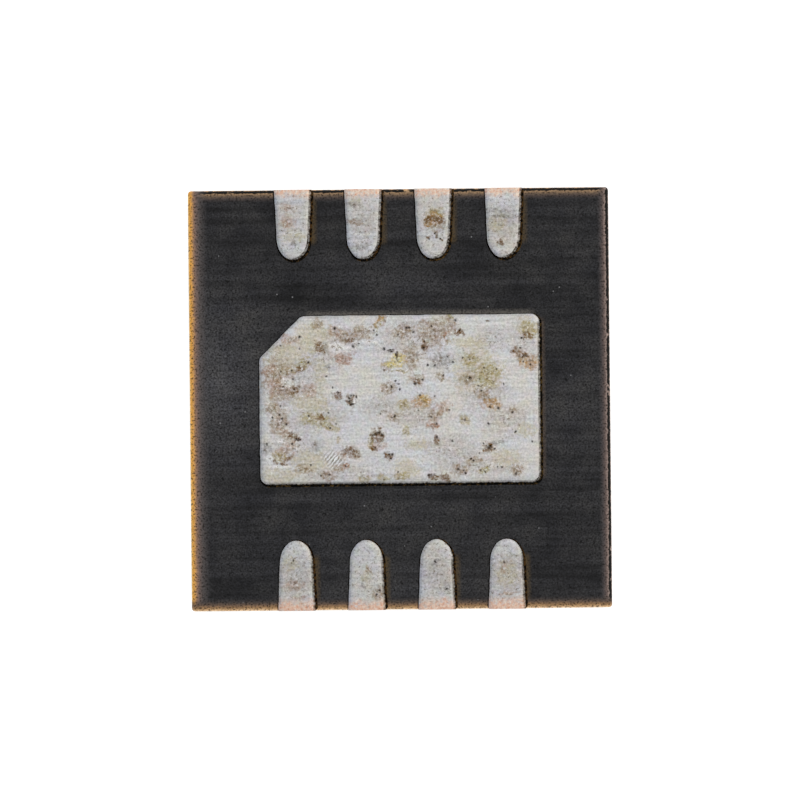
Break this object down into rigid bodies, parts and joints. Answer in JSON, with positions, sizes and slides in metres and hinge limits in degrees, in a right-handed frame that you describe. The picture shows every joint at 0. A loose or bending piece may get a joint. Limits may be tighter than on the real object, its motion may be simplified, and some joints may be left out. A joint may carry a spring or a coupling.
{
  "type": "dual flat no-lead reset controller chip",
  "caption": "Square black moulded chip with flat silver leads along opposite sides and a chamfered thermal pad between them; it holds a circuit in reset until its supply is steady.",
  "frame": {"origin": "middle of the marked face, which the chip lies on", "axes": "+Z out of the soldering faces, +X along the rows of leads, +Y towards the row that starts with pin 1"},
  "size_m": [0.003, 0.003, 0.0008],
  "materials": {
    "mould_compound": "matte black epoxy filled with fine silica, sawn on its sides",
    "tin_plated_copper": "matte tin plating with tan handling stains, bare copper at the sawn ends",
    "silver_adhesive": "cured adhesive filled with silver flakes",
    "silicon": "polished silicon",
    "gold_wire": "drawn gold"
  },
  "bodies": {
    "root": {"mould_body": "mould_compound", "die_paddle": "tin_plated_copper", "die_attach": "silver_adhesive", "silicon_die": "silicon", "lead_1": "tin_plated_copper", "lead_2": "tin_plated_copper", "lead_3": "tin_plated_copper", "lead_4": "tin_plated_copper", "lead_5": "tin_plated_copper", "lead_6": "tin_plated_copper", "lead_7": "tin_plated_copper", "lead_8": "tin_plated_copper", "bond_wire_1": "gold_wire", "bond_wire_2": "gold_wire", "bond_wire_3": "gold_wire", "bond_wire_4": "gold_wire", "bond_wire_5": "gold_wire", "bond_wire_6": "gold_wire", "bond_wire_7": "gold_wire", "bond_wire_8": "gold_wire"}
  },
  "joints": []
}
